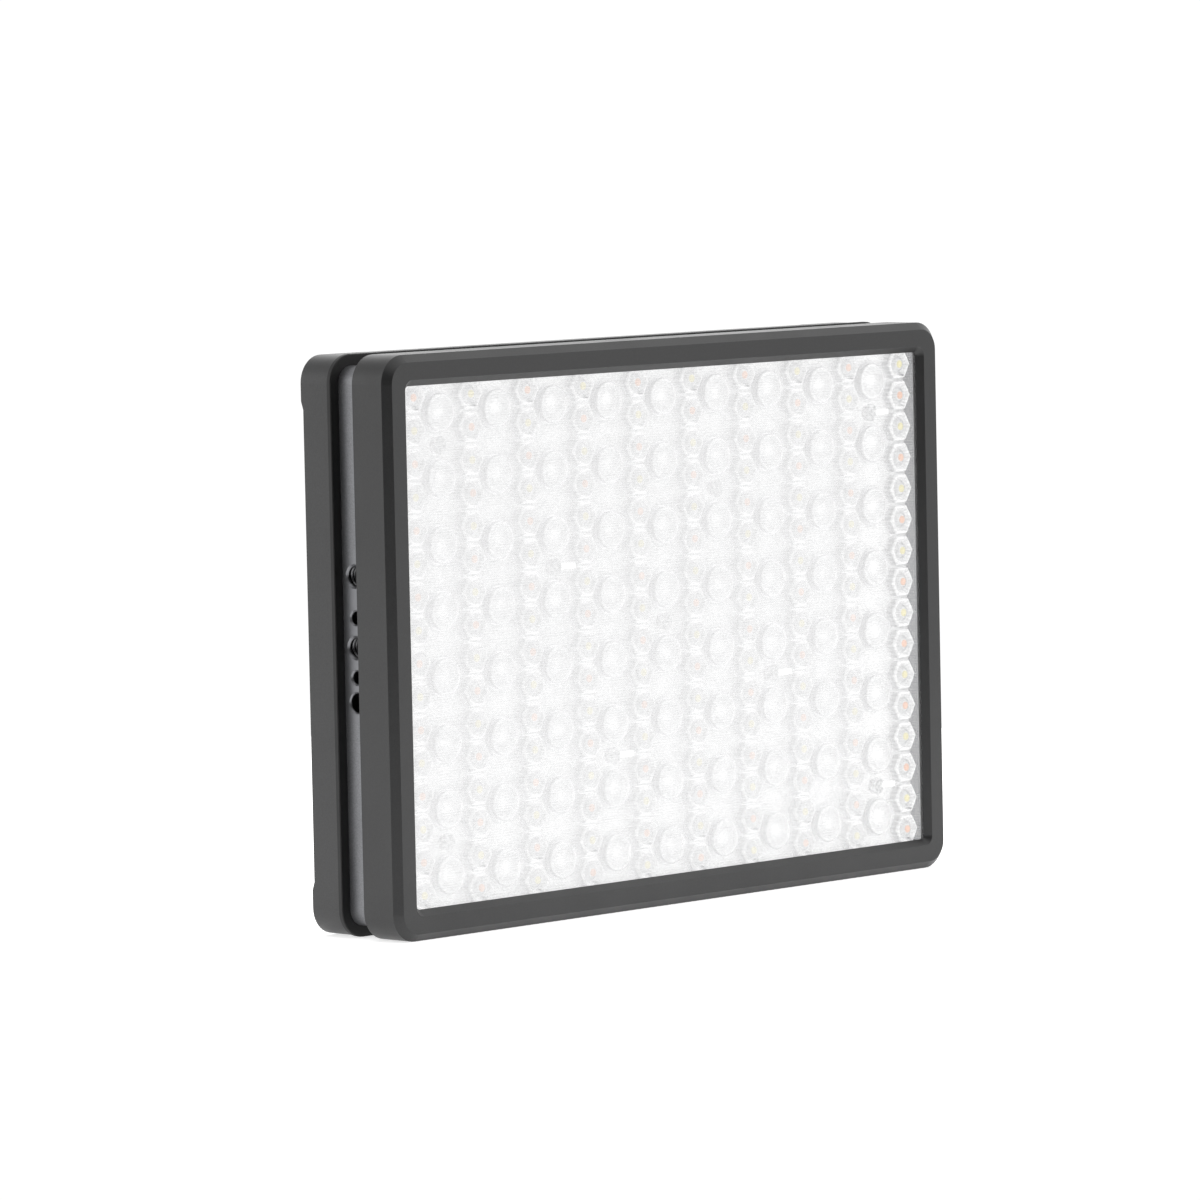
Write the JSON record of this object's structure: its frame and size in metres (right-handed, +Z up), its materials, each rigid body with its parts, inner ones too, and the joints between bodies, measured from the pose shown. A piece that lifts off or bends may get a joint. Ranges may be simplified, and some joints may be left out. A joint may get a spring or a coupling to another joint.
{
  "type": "led panel light",
  "caption": "Flat rectangular LED studio light panel with a lens window, accessory channel, side threads, rear battery bays, knobs and keys.",
  "frame": {"origin": "middle of the footprint, on the surface that the panel stands on", "axes": "+X along the panel's width to the right as seen from the lit face, -Y out of the lit face, +Z up"},
  "size_m": [0.2588, 0.042, 0.1815],
  "materials": {
    "bezel_plastic": "satin, fine grain",
    "window_clear": "clear sheet with fine ribs",
    "black_foam": "closed-cell foam",
    "lens_clear": "clear moulded acrylic",
    "white_board": "white solder mask",
    "cool_phosphor": "yellow phosphor",
    "warm_phosphor": "orange phosphor",
    "colour_phosphor": "white package with clear fill",
    "dark_steel": "black oxide",
    "grey_pad": "silicone thermal pad",
    "cast_frame": "silver-grey paint on die casting",
    "black_trim": "black, smooth",
    "cover_plastic": "satin, fine grain",
    "display_glass": "smoked acrylic",
    "black_plastic": "moulded",
    "spring_steel": "bright",
    "knob_plastic": "ribbed",
    "gilt_contact": "gold plated",
    "key_rubber": "soft touch",
    "green_board": "green solder mask",
    "coil_ferrite": "ferrite",
    "can_aluminium": "aluminium can"
  },
  "bodies": {
    "housing": {"front_bezel": "bezel_plastic", "window_sheet": "window_clear", "sheet_gasket": "black_foam", "lens_array": "lens_clear", "led_board": "white_board", "cool_white_leds": "cool_phosphor", "warm_white_leds": "warm_phosphor", "colour_leds": "colour_phosphor", "lens_screws": "dark_steel", "thermal_pad": "grey_pad", "mid_frame": "cast_frame", "trim_ring": "black_trim", "bezel_screws": "dark_steel", "rear_cover": "cover_plastic", "corner_feet": "cover_plastic", "cover_screws": "dark_steel", "display_window": "display_glass", "battery_plate_left": "black_plastic", "battery_plate_right": "black_plastic", "latch_sleeve_left": "key_rubber", "latch_sleeve_right": "key_rubber", "heat_sink": "can_aluminium", "hole_blocks_left": "cast_frame", "hole_blocks_right": "cast_frame", "hole_blocks_bottom": "cast_frame", "heat_sink_screws": "dark_steel", "encoder_body_left": "black_plastic", "encoder_body_right": "black_plastic", "battery_plate_screws": "dark_steel", "battery_contacts": "gilt_contact", "power_switch_body": "black_plastic", "driver_board": "green_board", "driver_coils": "coil_ferrite", "driver_capacitors": "can_aluminium", "driver_board_screws": "dark_steel", "control_board": "green_board", "display_module": "black_plastic", "tact_switches": "black_plastic", "control_board_screws": "dark_steel", "port_board": "green_board", "dc_jack": "black_plastic", "usb_socket": "spring_steel"},
    "left_rotor": {"encoder_rotor_left": "black_plastic"},
    "left_dial": {"encoder_shaft_left": "spring_steel", "knob_left": "knob_plastic"},
    "right_rotor": {"encoder_rotor_right": "black_plastic"},
    "right_dial": {"encoder_shaft_right": "spring_steel", "knob_right": "knob_plastic"},
    "menu_key": {"menu_button": "key_rubber"},
    "mode_key": {"mode_button": "key_rubber"},
    "effect_key": {"effect_button": "key_rubber"},
    "back_key": {"back_button": "key_rubber"},
    "power_slider": {"power_switch_slider": "key_rubber"},
    "left_latch": {"latch_left": "black_plastic"},
    "right_latch": {"latch_right": "black_plastic"}
  },
  "joints": [
    {"name": "left_knob_turn", "type": "hinge", "parent": "housing", "child": "left_rotor", "pos_m": [-0.031, 0.0106, 0.04875], "axis": [0, -1, 0], "continuous": true},
    {"name": "left_knob_press", "type": "slide", "parent": "left_rotor", "child": "left_dial", "axis": [0, -1, 0], "range_m": [0, 0.0005], "stiffness_N_per_m": 1500},
    {"name": "right_knob_turn", "type": "hinge", "parent": "housing", "child": "right_rotor", "pos_m": [0.031, 0.0106, 0.04875], "axis": [0, -1, 0], "continuous": true},
    {"name": "right_knob_press", "type": "slide", "parent": "right_rotor", "child": "right_dial", "axis": [0, -1, 0], "range_m": [0, 0.0005], "stiffness_N_per_m": 1500},
    {"name": "menu_press", "type": "slide", "parent": "housing", "child": "menu_key", "axis": [0, -1, 0], "range_m": [0, 0.0006], "stiffness_N_per_m": 900},
    {"name": "mode_press", "type": "slide", "parent": "housing", "child": "mode_key", "axis": [0, -1, 0], "range_m": [0, 0.0006], "stiffness_N_per_m": 900},
    {"name": "effect_press", "type": "slide", "parent": "housing", "child": "effect_key", "axis": [0, -1, 0], "range_m": [0, 0.0006], "stiffness_N_per_m": 900},
    {"name": "back_press", "type": "slide", "parent": "housing", "child": "back_key", "axis": [0, -1, 0], "range_m": [0, 0.0006], "stiffness_N_per_m": 900},
    {"name": "power_slide", "type": "slide", "parent": "housing", "child": "power_slider", "axis": [1, 0, 0], "range_m": [0, 0.003]},
    {"name": "left_latch_push", "type": "slide", "parent": "housing", "child": "left_latch", "axis": [0, -1, 0], "range_m": [0, 0.0016], "stiffness_N_per_m": 400, "deforming": ["latch_sleeve_left"]},
    {"name": "right_latch_push", "type": "slide", "parent": "housing", "child": "right_latch", "axis": [0, -1, 0], "range_m": [0, 0.0016], "stiffness_N_per_m": 400, "deforming": ["latch_sleeve_right"]}
  ]
}
